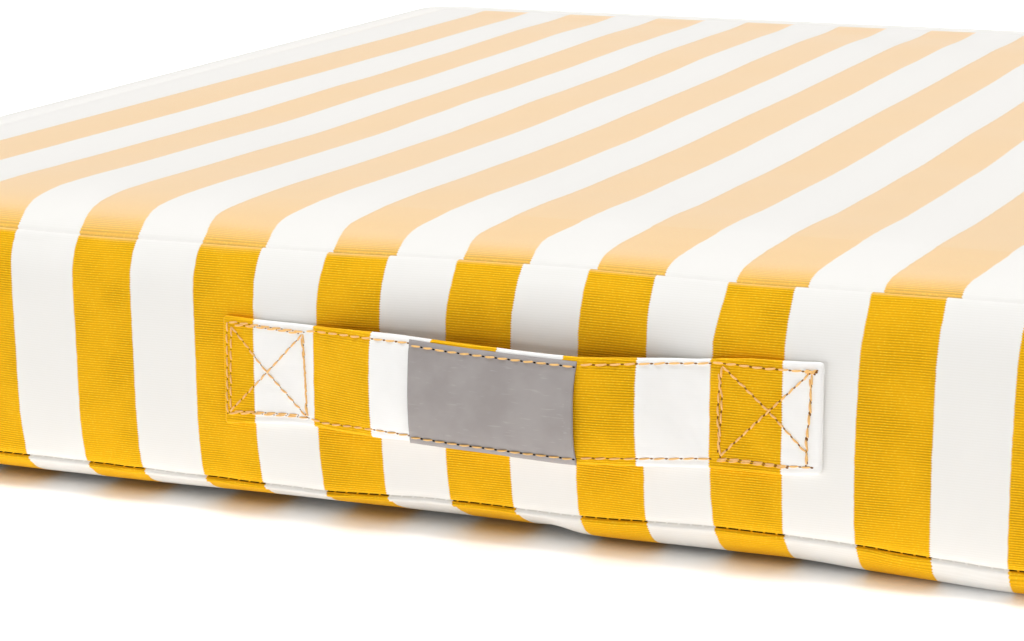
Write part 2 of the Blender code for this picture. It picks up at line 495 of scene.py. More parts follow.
# How strong the painted shade along each seam is: the upper one much fainter than the lower one.
seam_shade_strength = {index: 1.0 for index in ring_ids[lower_row].values()}
seam_shade_strength.update({index: 0.19 for index in ring_ids[upper_row].values()})
cloth_uv = np.zeros((len(cushion_mesh.loops), 2), np.float32)
seam_uv = np.zeros_like(cloth_uv)
loop = 0
for face, panel in zip(skin_faces, skin_panels):
    arounds = [run_round.get(key_of.get(index), 0.0) for index in face]
    wraps = max(arounds) - min(arounds) > girth / 2
    for around, index in zip(arounds, face):
        if wraps and around < girth / 2:
            around += girth
        p = skin_points[index]
        if panel == TOP:
            cloth_uv[loop] = (top_repeat(p.x, p.y), p.y)
        elif panel == FRONT:
            cloth_uv[loop] = (front_repeat(p.x, p.z), -run_down[index])
        elif panel == SIDES:
            cloth_uv[loop] = (SIDE_START + run_down[index] / REPEAT, around)
        else:
            cloth_uv[loop] = (front_repeat(p.x, LOWER_SEAM_HEIGHT), p.y)
        seam_uv[loop] = (around, seam_shade_strength.get(index, 0.0))
        loop += 1
for name, values in (("cloth", cloth_uv), ("seam", seam_uv)):
    cushion_mesh.uv_layers.new(name=name).uv.foreach_set("vector", values.ravel())
print("cloth map: %.1f repeats wide" % np.ptp(cloth_uv[:, 0]))

# %% [markdown]
# ## The carrying strap
#
# The handle is a strip of the same cloth with its edges folded in, laid flat against the front and
# sewn down at both ends. Between the ends it stands away from the cushion by about a finger's
# thickness. The tables hold, along the strap, how far its face stands out and where its two edges
# run. The strap is built as one closed band: a face, a back and rounded folds between them.

# %% Shape of the strap
STRAP_ENDS = (-102.0, 107.0)
STRAP_OUT = [
    (-102, 2.5), (-90, 2.7), (-74, 2.9), (-68, 3.4), (-60, 5.4), (-45, 8.4), (-29, 10.8),
    (-14, 12.0), (1, 12.5), (15, 12.5), (29, 11.7), (40, 10.0), (48, 8.3), (58, 5.7), (66, 4.1),
    (72, 3.4), (81, 3.0), (107, 2.6),
]
STRAP_TOP = [
    (-102, 69.9), (-85, 69.5), (-68, 69.4), (-42, 70.5), (-29, 70.6), (1, 69.9), (29, 69.2),
    (47, 69.8), (67, 70.2), (81, 71.4), (94, 71.7), (107, 72.2),
]
STRAP_BOTTOM = [
    (-102, 32.4), (-91, 33.6), (-72, 34.8), (-45, 34.9), (-29, 35.5), (1, 35.2), (29, 34.2),
    (48, 34.4), (71, 34.9), (94, 35.0), (107, 36.4),
]
STRAP_THICKNESS = 2.3
STRAP_CORNER = 1.4
STRAP_BULGE = 2.1
FOLD_TURNS = [math.pi * k / 6 for k in range(1, 6)]
TOP_EDGE_SEAM, BOTTOM_EDGE_SEAM = 1.9, 2.6
SEAM_DENT = 0.30
print("strap from x = %.0f to %.0f mm" % STRAP_ENDS)


def strap_bulge(x):
    """How far the strap's middle stands out past its edges: nothing where it is sewn down."""
    return STRAP_BULGE * smoothstep(3.2, 9.0, from_table(STRAP_OUT, x))


def strap_limits(x):
    """The strap's lower and upper edge at x, drawn in a little at its two ends."""
    from_end = min(x - STRAP_ENDS[0], STRAP_ENDS[1] - x)
    trim = 0.0
    if from_end < STRAP_CORNER:
        trim = STRAP_CORNER - math.sqrt(max(STRAP_CORNER**2 - (STRAP_CORNER - from_end) ** 2, 0))
    return from_table(STRAP_BOTTOM, x) + trim, from_table(STRAP_TOP, x) - trim


def strap_face(x, z):
    """How far the strap's face stands in front of the cushion's front plane at (x, z), in mm."""
    low_edge, high_edge = strap_limits(x)
    middle, half = (low_edge + high_edge) / 2, (high_edge - low_edge) / 2
    t = max(min((z - middle) / half, 1.0), -1.0)
    out = from_table(STRAP_OUT, x) + strap_bulge(x) * (1 - t * t)
    for row in (low_edge + BOTTOM_EDGE_SEAM, high_edge - TOP_EDGE_SEAM):
        out -= SEAM_DENT * math.exp(-(((z - row) / 0.75) ** 2))
    out += 0.35 * lump(x, z, 7.7, 9.0) + 0.12 * lump(x, z, 3.3, 3.1)
    return out


def strap_loop(x, count):
    """Points (out, height) round the strap's section: up its face, over, down its back, under."""
    low_edge, high_edge = strap_limits(x)
    from_end = min(x - STRAP_ENDS[0], STRAP_ENDS[1] - x)
    rounding = 1 - (1 - min(from_end, 1.0)) ** 2
    nose = STRAP_THICKNESS / 2 * min(1.0, math.sqrt(max(rounding, 0.06)))
    fold = min(nose, 1.1)
    flat_part = high_edge - low_edge - 2 * fold
    heights = [low_edge + fold + flat_part * k / (count - 1) for k in range(count)]
    points = [(strap_face(x, z) - STRAP_THICKNESS / 2 + nose, z) for z in heights]
    centre = strap_face(x, high_edge) - STRAP_THICKNESS / 2
    for turn in FOLD_TURNS:
        points.append((centre + nose * math.cos(turn), high_edge - fold + fold * math.sin(turn)))
    points += [(strap_face(x, z) - STRAP_THICKNESS / 2 - nose, z) for z in reversed(heights)]
    centre = strap_face(x, low_edge) - STRAP_THICKNESS / 2
    for turn in FOLD_TURNS:
        points.append((centre - nose * math.cos(turn), low_edge + fold - fold * math.sin(turn)))
    return points


# %% [markdown]
# ## From sections to a band
#
# Sections with the same number of points are joined into one closed band, as if a soft strip were
# pulled through them. They stand closer together at the ends, where the folded cloth rounds off.

# %% Build the strap
STRAP_COLUMNS, SECTION_POINTS = 250, 44
NEAR_STRAP_END, NEAR_PATCH_END = (0.0, 0.15, 0.4, 0.8, 1.3, 2.0, 2.8), (0.0, 0.3)


def band_of(sections):
    """Points and faces of a closed band through sections of the same number of points."""
    size = len(sections[0])
    points = [p for section in sections for p in section]
    faces = []
    for a in range(len(sections) - 1):
        for b in range(size):
            c = (b + 1) % size
            faces.append((a * size + b, (a + 1) * size + b, (a + 1) * size + c, a * size + c))
    faces.append(tuple(range(size)))
    faces.append(tuple(range((len(sections) - 1) * size, len(sections) * size))[::-1])
    return points, faces


def cloth_map(obj, place):
    """Give a piece its place on the cloth: place(point) gives repeats across and metres along."""
    layer = obj.data.uv_layers.new(name="cloth")
    values = [place(obj.data.vertices[l.vertex_index].co) for l in obj.data.loops]
    layer.uv.foreach_set("vector", np.array(values, np.float32).ravel())


def columns(ends, near_end, margin, count):
    """Places along a strip: count even ones, and a few close to each of its ends."""
    start, stop = ends
    inner = np.linspace(start + margin, stop - margin, count)
    return [start + e for e in near_end] + list(inner) + [stop - e for e in reversed(near_end)]


sections = [
    [Vector((x * MM, BED - out * MM, z * MM)) for out, z in strap_loop(x, SECTION_POINTS)]
    for x in columns(STRAP_ENDS, NEAR_STRAP_END, 3.5, STRAP_COLUMNS)
]
strap = new_piece("handle_band", *band_of(sections))
cloth_map(strap, lambda p: (strap_repeat(p.x), p.z))
print("strap:", len(strap.data.polygons), "faces")

# %% [markdown]
# ## The grey patch
#
# A plain patch of matte grey leather sits on the middle of the strap, caught by the same two rows
# of stitches. Its free ends lift a little. It is left bare here.

# %% Patch
PATCH_ENDS = (-29.0, 29.3)
PATCH_TOP = [(-29.0, 70.0), (0.0, 68.9), (29.3, 68.0)]
PATCH_THICKNESS, PATCH_GAP, PATCH_EDGE = 1.0, 0.15, 0.35
PATCH_TOP_SEAM, PATCH_BOTTOM_SEAM = 2.0, 2.6
PATCH_DENT = 0.35
LEFT_LIFT, RIGHT_LIFT = 0.5, 1.2  # how far its free ends stand off the strap
LEFT_BOW, RIGHT_BOW = 0.45, -0.25  # how far the middle of each free end is pushed sideways


def patch_limits(x):
    """The patch's lower and upper edge at x."""
    return from_table(STRAP_BOTTOM, x) - 0.1, from_table(PATCH_TOP, x)


def patch_face(x, z):
    """How far the patch's face stands in front of the cushion's front plane, in mm."""
    low_edge, high_edge = patch_limits(x)
    middle, half = (low_edge + high_edge) / 2, (high_edge - low_edge) / 2
    t = (z - middle) / half
    out = from_table(STRAP_OUT, x) + strap_bulge(x) * (1 - t * t) + PATCH_THICKNESS + PATCH_GAP
    for row in (low_edge + PATCH_BOTTOM_SEAM, high_edge - PATCH_TOP_SEAM):
        out -= PATCH_DENT * math.exp(-(((z - row) / 0.8) ** 2))
    lift = LEFT_LIFT * smoothstep(4.0, 0.0, x - PATCH_ENDS[0])
    lift += RIGHT_LIFT * smoothstep(5.0, 0.0, PATCH_ENDS[1] - x)
    return out + lift * (1 - abs(t) ** 3) + 0.25 * lump(x, z, 1.1, 11.0)


def patch_section(x, count=30):
    """Points (out, height) round the patch's section at x, with its two long edges softened."""
    low_edge, high_edge = patch_limits(x)
    face, back = [], []
    for k in range(count):
        z = low_edge + (high_edge - low_edge) * k / (count - 1)
        softened = PATCH_EDGE if k in (0, count - 1) else 0.0
        out = patch_face(x, z)
        face.append((out - softened, z))
        back.append((out - PATCH_THICKNESS + softened, z))
    return face + back[::-1]


def patch_point(x, out, z):
    """One point of the patch in metres, with its free ends bowed sideways a little."""
    low_edge, high_edge = patch_limits(x)
    t = (z - (low_edge + high_edge) / 2) / ((high_edge - low_edge) / 2)
    bow = 0.0
    if x < PATCH_ENDS[0] + 4:
        bow = LEFT_BOW * (1 - t * t)
    if x > PATCH_ENDS[1] - 4:
        bow = RIGHT_BOW * (1 - t * t)
    return Vector(((x + bow) * MM, BED - out * MM, z * MM))


patch_sections = [
    [patch_point(x, out, z) for out, z in patch_section(x)]
    for x in columns(PATCH_ENDS, NEAR_PATCH_END, 1.0, 50)
]
patch = new_piece("patch_face", *band_of(patch_sections))
print("patch:", len(patch.data.polygons), "faces")

# %% [markdown]
# ## Stitching
#
# Two rows of thick thread run along the strap's edges, across the patch as well, and a box with a
# cross holds each end down. Each stitch is a short bent tube that comes up out of the cloth and
# goes down again, and a small dark disc of painted shade stands for the hole where the needle
# went. The rows are listed as (x, height) in millimetres on the strap's face, so they follow its
# curve.

# %% Stitch rows
ROW_PITCH, BOX_PITCH, CROSS_PITCH, BAR_PITCH = 4.45, 4.1, 3.3, 1.7
THREAD_RADIUS = 0.34
THREAD_DIP, THREAD_ARCH = 0.45, 0.75  # how deep its ends go, and how far it rises from there
STITCH_FROM, STITCH_TO = 0.07, 0.93  # the part of one pitch that the thread covers
STITCH_SLANT = 0.34
STITCH_GROUPS = [
    ("strap", ROW_PITCH, [
        [(-71.0, 67.3), (-65.8, 67.8), (-44.4, 68.4), (-29.7, 68.6)],
        [(-69.5, 37.7), (-65.0, 36.9), (-44.8, 37.9), (-29.6, 37.7)],
    ]),
    ("patch", ROW_PITCH, [
        [(-28.6, 68.2), (-12.8, 67.5), (23.6, 66.6), (28.8, 66.4)],
        [(-28.8, 37.6), (-11.8, 37.2), (23.6, 36.4), (28.8, 36.3)],
    ]),
    ("strap", ROW_PITCH, [
        [(30.0, 67.0), (38.0, 67.2), (47.5, 68.1), (59.4, 68.5), (70.6, 69.1)],
        [(30.0, 36.5), (38.1, 36.8), (47.7, 37.2), (59.7, 37.6), (71.0, 38.2)],
    ]),
    ("strap", BOX_PITCH, [
        [(71.0, 69.5), (79.8, 69.3), (85.6, 68.9), (93.9, 69.0), (104.8, 69.1)],
        [(73.0, 38.3), (77.4, 38.8), (86.1, 38.5), (94.2, 38.2), (104.0, 38.5)],
        [(72.6, 37.8), (79.0, 38.1), (87.0, 37.8), (96.0, 37.7)],
        [(74.6, 68.6), (73.6, 60.8), (73.2, 52.7), (74.3, 39.3)],
        [(73.5, 66.5), (74.6, 58.8), (74.3, 50.7), (73.5, 41.0)],
        [(103.6, 68.8), (103.0, 58.8), (102.4, 49.6), (102.1, 38.9)],
        [(102.9, 67.2), (103.4, 57.0), (101.9, 47.6), (102.5, 40.0)],
    ]),
    ("strap", CROSS_PITCH, [
        [(74.4, 68.8), (89.3, 55.8), (102.2, 43.0)],
        [(74.0, 39.2), (89.6, 55.2), (102.8, 68.6)],
    ]),
    ("strap", BAR_PITCH, [
        [(100.8, 69.3), (104.6, 69.0)],
        [(101.2, 68.7), (104.9, 69.6)],
        [(101.5, 69.7), (104.2, 68.5)],
    ]),
    ("strap", BOX_PITCH, [
        [(-100.2, 68.0), (-89.3, 67.7), (-71.4, 66.9)],
        [(-97.9, 67.1), (-87.3, 67.1), (-73.4, 66.4)],
        [(-100.6, 36.4), (-90.4, 37.3), (-70.0, 37.7)],
        [(-98.4, 37.3), (-88.4, 37.9), (-74.0, 38.3)],
        [(-100.2, 68.2), (-100.5, 52.0), (-100.8, 36.2)],
        [(-98.6, 66.8), (-99.2, 51.0), (-99.4, 38.0)],
        [(-71.6, 66.7), (-71.1, 52.1), (-70.4, 37.9)],
        [(-72.2, 65.3), (-70.8, 50.1), (-71.0, 38.9)],
    ]),
    ("strap", CROSS_PITCH, [
        [(-98.8, 66.6), (-85.3, 52.0), (-70.8, 38.0)],
        [(-71.8, 66.2), (-85.3, 52.0), (-100.0, 36.8)],
    ]),
]
STITCH_ROWS = [(on, pitch, path) for on, pitch, paths in STITCH_GROUPS for path in paths]


def face_point(on, x, z, lift):
    """A point in metres on the face of the strap or the patch, raised by lift (mm)."""
    out = patch_face(x, z) if on == "patch" else strap_face(x, z)
    return Vector((x * MM, BED - (out + lift) * MM, z * MM))


def spread(points, pitch):
    """Places at even steps along a path of (x, z) points."""
    points = np.array(points, float)
    runs = np.concatenate([[0], np.cumsum(np.linalg.norm(np.diff(points, axis=0), axis=1))])
    count = max(int(round(runs[-1] / pitch)), 1)
    at = np.linspace(0, runs[-1], count + 1)
    return [(np.interp(d, runs, points[:, 0]), np.interp(d, runs, points[:, 1])) for d in at]


class Tubes:
    """Collects bent tubes into one mesh."""

    SIDES = 6

    def __init__(self):
        self.points, self.faces = [], []

    def add(self, path, radii):
        first, n = len(self.points), self.SIDES
        for k, (p, radius) in enumerate(zip(path, radii)):
            ahead = path[min(k + 1, len(path) - 1)] - path[max(k - 1, 0)]
            ahead.normalize()
            side = ahead.cross(Vector((0, -1, 0))).normalized()
            over = side.cross(ahead)
            for m in range(n):
                turn = math.tau * m / n
                self.points.append(p + (side * math.cos(turn) + over * math.sin(turn)) * radius)
        for k in range(len(path) - 1):
            for m in range(n):
                a, b = first + k * n + m, first + k * n + (m + 1) % n
                self.faces.append((a, b, b + n, a + n))
        self.faces.append(tuple(range(first, first + n))[::-1])
        last = first + (len(path) - 1) * n
        self.faces.append(tuple(range(last, last + n)))


def sew(tubes, holes, on, start, stop, slant):
    """One stitch from start to stop, and a hole at its end."""
    (x0, z0), (x1, z1) = start, stop
    run = math.hypot(x1 - x0, z1 - z0)
    dx, dz = (x1 - x0) / run, (z1 - z0) / run
    path, radii = [], []
    for k in range(8):
        t = k / 7
        d = STITCH_FROM + (STITCH_TO - STITCH_FROM) * t
        side = slant * (t - 0.5)
        x, z = x0 + dx * run * d - dz * side, z0 + dz * run * d + dx * side
        arch = math.sin(math.pi * t)
        path.append(face_point(on, x, z, -THREAD_DIP + THREAD_ARCH * arch**0.6))
        radii.append(THREAD_RADIUS * MM * (0.72 + 0.28 * arch))
    tubes.add(path, radii)
    holes.append((on, x1, z1, dx, dz))


stitch_tubes, needle_holes = Tubes(), []
for number, (on, pitch, path) in enumerate(STITCH_ROWS):
    places = spread(path, pitch)
    for k in range(len(places) - 1):
        wobble = lump(places[k][0], places[k][1], number, 2.3)
        sew(stitch_tubes, needle_holes, on, places[k], places[k + 1], STITCH_SLANT + 0.5 * wobble)
threads = new_piece("strap_threads", stitch_tubes.points, stitch_tubes.faces)
print(len(needle_holes), "stitches,", len(threads.data.polygons), "faces of thread")

# %% Needle holes, drawn as discs of painted shade
HOLE_SIDES = 8
HOLE_LONG, HOLE_WIDE, HOLE_CROWN = 0.52, 0.29, 0.07
LEFT_END, LEFT_END_SIZE = -45, 0.65  # left of this place the holes are smaller
STRAP_HOLE_HEIGHT, PATCH_HOLE_HEIGHT = 0.06, 0.20


def hole_shade_piece(name, which, height):
    """Small dark discs of painted shade where the needle went through, on the strap or on the
    patch.
    """
    points, faces = [], []
    for on, x, z, dx, dz in needle_holes:
        if on != which:
            continue
        first = len(points)
        size = LEFT_END_SIZE if x < LEFT_END else 1.0
        for m in range(HOLE_SIDES):
            turn = math.tau * m / HOLE_SIDES
            a, b = HOLE_LONG * size * math.cos(turn), HOLE_WIDE * size * math.sin(turn)
            points.append(face_point(on, x + dx * a - dz * b, z + dz * a + dx * b, height))
        points.append(face_point(on, x, z, height + HOLE_CROWN))
        for m in range(HOLE_SIDES):
            faces.append((first + m, first + (m + 1) % HOLE_SIDES, first + HOLE_SIDES))
    return new_piece(name, points, faces)


strap_hole_shades = hole_shade_piece("needle_holes_strap", "strap", STRAP_HOLE_HEIGHT)
patch_hole_shades = hole_shade_piece("needle_holes_patch", "patch", PATCH_HOLE_HEIGHT)
print(len(strap_hole_shades.data.vertices) + len(patch_hole_shades.data.vertices), "points of needle holes")

# %% [markdown]
# ## A small kit for materials
#
# Every finish here is a node tree. These helpers add a node, set its inputs and link it in one
# line, so that each material below reads like a recipe.

# %% Material helpers
class Recipe:
    """A material's node tree, with short ways to add and link nodes."""

    def __init__(self, name):
        self.mat = bpy.data.materials.new(name)
        self.mat.use_nodes = True
        self.tree = self.mat.node_tree
        self.shader = self.tree.nodes["Principled BSDF"]

    def put(self, socket, value):
        if hasattr(value, "is_output"):
            self.tree.links.new(value, socket)
        else:
            socket.default_value = value

    def add(self, kind, inputs=(), **settings):
        node = self.tree.nodes.new("ShaderNode" + kind)
        for key, value in settings.items():
            setattr(node, key, value)
        for key, value in dict(inputs).items():
            self.put(node.inputs[key], value)
        return node

    def math(self, operation, a, b=0.0):
        return self.add("Math", {0: a, 1: b}, operation=operation).outputs[0]

    def ramp(self, value, low_in, high_in, low_out=0.0, high_out=1.0):
        inputs = {"Value": value, "From Min": low_in, "From Max": high_in}
        inputs.update({"To Min": low_out, "To Max": high_out})
        return self.add("MapRange", inputs, interpolation_type="SMOOTHSTEP").outputs[0]

    def mix(self, share, a, b):
        node = self.add("Mix", {0: share}, data_type="RGBA")
        self.put(node.inputs[6], a)
        self.put(node.inputs[7], b)
        return node.outputs[2]

    def noise(self, place, scale, detail):
        inputs = {"Vector": place, "Scale": scale, "Detail": detail}
        return self.add("TexNoise", inputs).outputs["Fac"]

    def bump(self, height, distance, strength):
        inputs = {"Height": height, "Distance": distance, "Strength": strength}
        return self.add("Bump", inputs).outputs["Normal"]

    def finish(self, colour, roughness, normal=None):
        self.put(self.shader.inputs["Base Color"], colour)
        self.put(self.shader.inputs["Roughness"], roughness)
        if normal is not None:
            self.put(self.shader.inputs["Normal"], normal)
        return self.mat


def rgb(red, green, blue):
    return (red, green, blue, 1.0)


print("material helpers:", ", ".join(k for k in vars(Recipe) if not k.startswith("_")))

# %% [markdown]
# ## The striped, ribbed cloth
#
# Outdoor canvas of this kind has fine ribs across its stripes, a little under a millimetre apart.
# Each rib is a bundle of weft under the coloured warp, so the edge of a stripe steps in and out
# from rib to rib. Shade is painted into each rib's groove, olive brown on yellow and faint grey on
# white, with small painted glints on the yellow crests. The ribs are made from the cloth map, in
# the colour and in the bump, so they follow every panel.
#
# Where we look along the cloth, its colour is mixed towards a pale tint: a painted sheen, added to
# the shader's own sheen for its fine hairs. The yellow is also painted brighter at a slant. The
# top gets a constant share of the pale tint, a painted wash that makes it lighter than the bands.
# One recipe makes four finishes: the bands, the top, and the underside and the strap without the
# pale painted sheen.

# %% Cloth material
RIB, YARN, SEAM_STITCH = 0.83 * MM, 0.46 * MM, 4.1 * MM
EDGE_STEP, EDGE_WANDER, EDGE_BLUR = 0.0035, 0.010, 0.004  # of a stripe's edge, in repeats
RELIEF = 0.10 * MM
# Painted sheen: the pale tint starts at this slant and grows with this power.
PAINTED_PALE_SHEEN_ANGLE, PAINTED_PALE_SHEEN_POWER = 0.22, 1.3
# The groove colours are painted shade and the fleck colour is a painted glint; the crest colours
# are the cloth's own.
YELLOW_CREST, YELLOW_PAINTED_GRAZING_SHEEN = rgb(0.93, 0.505, 0.010), rgb(1.0, 0.54, 0.014)
YELLOW_GROOVE_SHADES = rgb(0.52, 0.255, 0.002), rgb(0.76, 0.375, 0.006)
YELLOW_FLECK_GLINT, YELLOW_PAINTED_PALE_SHEEN = rgb(1.0, 0.70, 0.04), rgb(1.0, 0.90, 0.84)
WHITE_GROOVE_SHADE, WHITE_CREST = rgb(0.855, 0.840, 0.805), rgb(0.875, 0.860, 0.830)
WHITE_LIFTED, WHITE_PAINTED_PALE_SHEEN = rgb(1.0, 1.0, 1.0), rgb(0.88, 0.86, 0.83)
# Painted shade along the seams' creases, on yellow and on white.
YELLOW_SEAM_SHADE, WHITE_SEAM_SHADE = rgb(0.075, 0.045, 0.003), rgb(0.76, 0.74, 0.70)


def striped_cloth(name, has_seams, painted_pale_sheen_share=0.74, painted_pale_sheen_start=0.0, fuzz=0.5, white_lift=0.0):
    """Ribbed yellow and white stripes, laid out by the "cloth" map."""
    r = Recipe(name)
    where = r.add("UVMap", uv_map="cloth").outputs[0]
    split = r.add("SeparateXYZ", {0: where})
    across, along = split.outputs[0], split.outputs[1]
    metres = r.add("CombineXYZ", {0: r.math("MULTIPLY", across, REPEAT), 1: along}).outputs[0]

    wander = r.noise(metres, 260.0, 1.0)
    rib_at = r.math("ADD", r.math("MULTIPLY", along, 1 / RIB), r.math("MULTIPLY", wander, 0.12))
    rib = r.math("SINE", r.math("MULTIPLY", rib_at, math.tau))
    rib01 = r.math("ADD", r.math("MULTIPLY", rib, 0.5), 0.5)

    row = r.math("MULTIPLY", r.math("FLOOR", rib_at), 0.5)
    yarn_at = r.math("ADD", r.math("MULTIPLY", across, REPEAT / YARN), row)
    yarn = r.math("SINE", r.math("MULTIPLY", yarn_at, math.tau))

    stepped = r.math("ADD", across, r.math("MULTIPLY", rib, EDGE_STEP))
    wandering = r.math("MULTIPLY", r.math("SUBTRACT", wander, 0.5), EDGE_WANDER)
    stepped = r.math("ADD", stepped, wandering)
    turned = r.math("FRACT", r.math("ADD", stepped, 0.5 - YELLOW_SHARE / 2))
    from_middle = r.math("ABSOLUTE", r.math("SUBTRACT", turned, 0.5))
    half_yellow = YELLOW_SHARE / 2
    is_white = r.ramp(from_middle, half_yellow - EDGE_BLUR, half_yellow + EDGE_BLUR)

    stretched = r.add("Mapping", {"Vector": metres, "Scale": (0.8, 1.5, 1.0)}).outputs[0]
    # Painted glints on the rib crests, and painted shade in the grooves, patchy in strength.
    fleck_glint = r.math("MULTIPLY", r.ramp(r.noise(stretched, 1500.0, 1.0), 0.50, 0.68), rib01)
    patchy = r.ramp(r.noise(metres, 55.0, 3.0), 0.3, 0.7)
    yellow = r.mix(rib01, r.mix(patchy, *YELLOW_GROOVE_SHADES), YELLOW_CREST)
    # Painted sheen: the yellow turns brighter where the cloth is seen at a slant.
    grazing = r.add("LayerWeight", {"Blend": 0.5}).outputs["Facing"]
    yellow = r.mix(grazing, yellow, YELLOW_PAINTED_GRAZING_SHEEN)
    yellow = r.mix(r.math("MULTIPLY", fleck_glint, 0.55), yellow, YELLOW_FLECK_GLINT)
    white = r.mix(rib01, WHITE_GROOVE_SHADE, WHITE_CREST)
    # The white stripes can be lifted towards pure white; the strap uses this to be lighter than
    # the cushion.
    white = r.mix(white_lift, white, WHITE_LIFTED)
    colour = r.mix(is_white, yellow, white)

    height = r.math("ADD", rib01, r.math("MULTIPLY", yarn, 0.16))
    # Painted shade: a dark dashed line along each seam, in place of the shade in its crease.
    if has_seams:
        seam = r.add("SeparateXYZ", {0: r.add("UVMap", uv_map="seam").outputs[0]})
        beat = r.math("FRACT", r.math("MULTIPLY", seam.outputs[0], 1 / SEAM_STITCH))
        open_part = r.math("ABSOLUTE", r.math("SUBTRACT", beat, 0.5))
        gap = r.ramp(open_part, 0.44, 0.38)
        near = r.ramp(seam.outputs[1], 0.10, 0.34)
        crease_shade = r.math("MULTIPLY", near, r.math("ADD", 0.02, r.math("MULTIPLY", gap, 0.98)))
        colour = r.mix(crease_shade, colour, r.mix(is_white, YELLOW_SEAM_SHADE, WHITE_SEAM_SHADE))
    depth = r.math("ADD", 0.10, r.math("MULTIPLY", r.math("SUBTRACT", 1.0, is_white), 0.90))
    relief = r.bump(r.math("MULTIPLY", height, depth), RELIEF, 0.75)
    r.shader.inputs["Sheen Weight"].default_value = fuzz
    r.shader.inputs["Sheen Roughness"].default_value = 0.30
    r.shader.inputs["Sheen Tint"].default_value = rgb(1.0, 0.985, 0.96)
    r.shader.inputs["Specular IOR Level"].default_value = 0.03
    # Painted sheen: a pale tint mixed in where the cloth is seen at a slant, plus a constant
    # painted wash.
    slant = r.math("SUBTRACT", grazing, PAINTED_PALE_SHEEN_ANGLE)
    slant = r.math("MAXIMUM", r.math("MULTIPLY", slant, 1 / (1 - PAINTED_PALE_SHEEN_ANGLE)), 0.0)
    painted_pale_sheen = r.math("MULTIPLY", r.math("POWER", slant, PAINTED_PALE_SHEEN_POWER), painted_pale_sheen_share)
    painted_pale_sheen = r.math("ADD", painted_pale_sheen, painted_pale_sheen_start)
    colour = r.mix(painted_pale_sheen, colour, r.mix(is_white, YELLOW_PAINTED_PALE_SHEEN, WHITE_PAINTED_PALE_SHEEN))
    return r.finish(colour, 0.72, relief)


# Copies of one cloth: the top has a painted wash, and the underside and the strap have no pale
# painted sheen.
cloth_finish = striped_cloth("striped_cloth", True)
strap_finish = striped_cloth("strap_cloth", False, painted_pale_sheen_share=0.0, fuzz=0.2, white_lift=0.40)
under_no_pale_sheen_finish = striped_cloth("striped_cloth_under", True, painted_pale_sheen_share=0.0, fuzz=0.05)
top_painted_wash_finish = striped_cloth("striped_cloth_top", True, painted_pale_sheen_share=0.55, painted_pale_sheen_start=0.12)
BAND_CLOTH, UNDER_CLOTH, TOP_CLOTH = range(3)
for finish in (cloth_finish, under_no_pale_sheen_finish, top_painted_wash_finish):
    cushion_mesh.materials.append(finish)
# Below this height the bands turn under and use the copy without the pale painted sheen.
NO_PALE_SHEEN_BELOW = 22 * MM  # below it the bands turn under and get no haze
low_faces = len(RIM) * int(np.searchsorted(rows[:, 1], NO_PALE_SHEEN_BELOW))
for polygon, panel in zip(cushion_mesh.polygons, skin_panels):
    if panel == UNDER or polygon.index < low_faces:
        polygon.material_index = UNDER_CLOTH
    else:
        polygon.material_index = TOP_CLOTH if panel == TOP else BAND_CLOTH
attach(cushion, "root")
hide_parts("cushion")
print("cloth finish with", len(cloth_finish.node_tree.nodes), "nodes")

# %% [markdown]
# ## The strap, the patch, the thread and the painted shade of the needle holes
#
# The strap wears the same cloth, the patch is matte leather and the thread is orange. Each keeps a
# little noise in its colour and relief, because a perfectly even colour looks like plastic.

# %% Finish of the small pieces
strap.data.materials.append(strap_finish)
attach(strap, "root")
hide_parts("handle_strap")

r = Recipe("patch_grey")
where = r.add("TexCoord").outputs["Object"]
cloud = r.noise(where, 90.0, 3.0)
drawn_out = {"Vector": where, "Scale": (0.12, 1.0, 1.0), "Rotation": (0, 0.5, 0)}
scratch = r.noise(r.add("Mapping", drawn_out).outputs[0], 1400.0, 2.0)
grey = r.mix(r.ramp(cloud, 0.3, 0.7), rgb(0.330, 0.300, 0.290), rgb(0.375, 0.345, 0.335))
grey = r.mix(r.ramp(scratch, 0.62, 0.75, 0.0, 0.35), grey, rgb(0.50, 0.47, 0.455))
r.shader.inputs["Specular IOR Level"].default_value = 0.25
grain = r.bump(r.noise(where, 2600.0, 2.0), 0.05 * MM, 0.6)
patch.data.materials.append(r.finish(grey, 0.62, grain))
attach(patch, "root")
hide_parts("label_patch")


def plain_finish(name, colour, roughness, specular):
    """One colour with a little noise, for the thread and the painted shade of the needle holes."""
    r = Recipe(name)
    where = r.add("TexCoord").outputs["Object"]
    tone = r.noise(where, 700.0, 2.0)
    darker = rgb(*(0.80 * c for c in colour))
    r.shader.inputs["Specular IOR Level"].default_value = specular
    twist = r.bump(r.noise(where, 2500.0, 1.0), 0.05 * MM, 0.5)
    return r.finish(r.mix(tone, darker, rgb(*colour)), roughness, twist)


# The two needle-hole finishes are painted shade: a dark colour where the holes' shadow falls.
for piece, name, colour, roughness, specular in (
    (threads, "orange_thread", (1.0, 0.60, 0.22), 0.5, 0.3),
    (strap_hole_shades, "needle_hole_brown", (0.280, 0.115, 0.026), 0.9, 0.0),
    (patch_hole_shades, "needle_hole_dark", (0.035, 0.020, 0.010), 0.9, 0.0),
):
    piece.data.materials.append(plain_finish(name, colour, roughness, specular))
for piece in (threads, strap_hole_shades, patch_hole_shades):
    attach(piece, "root")
print("two sheets: the strap on the cushion and the patch on the strap")

# %% [markdown]
# ## Floor
#
# The cushion lies on a pale, slightly glossy floor whose colour glows all round it, painted light
# that fades out in a band along the cushion's outline. So only a thin shadow is left where it
# lies, its narrow edge painted by that fade; a plain white floor would show a wide grey one.

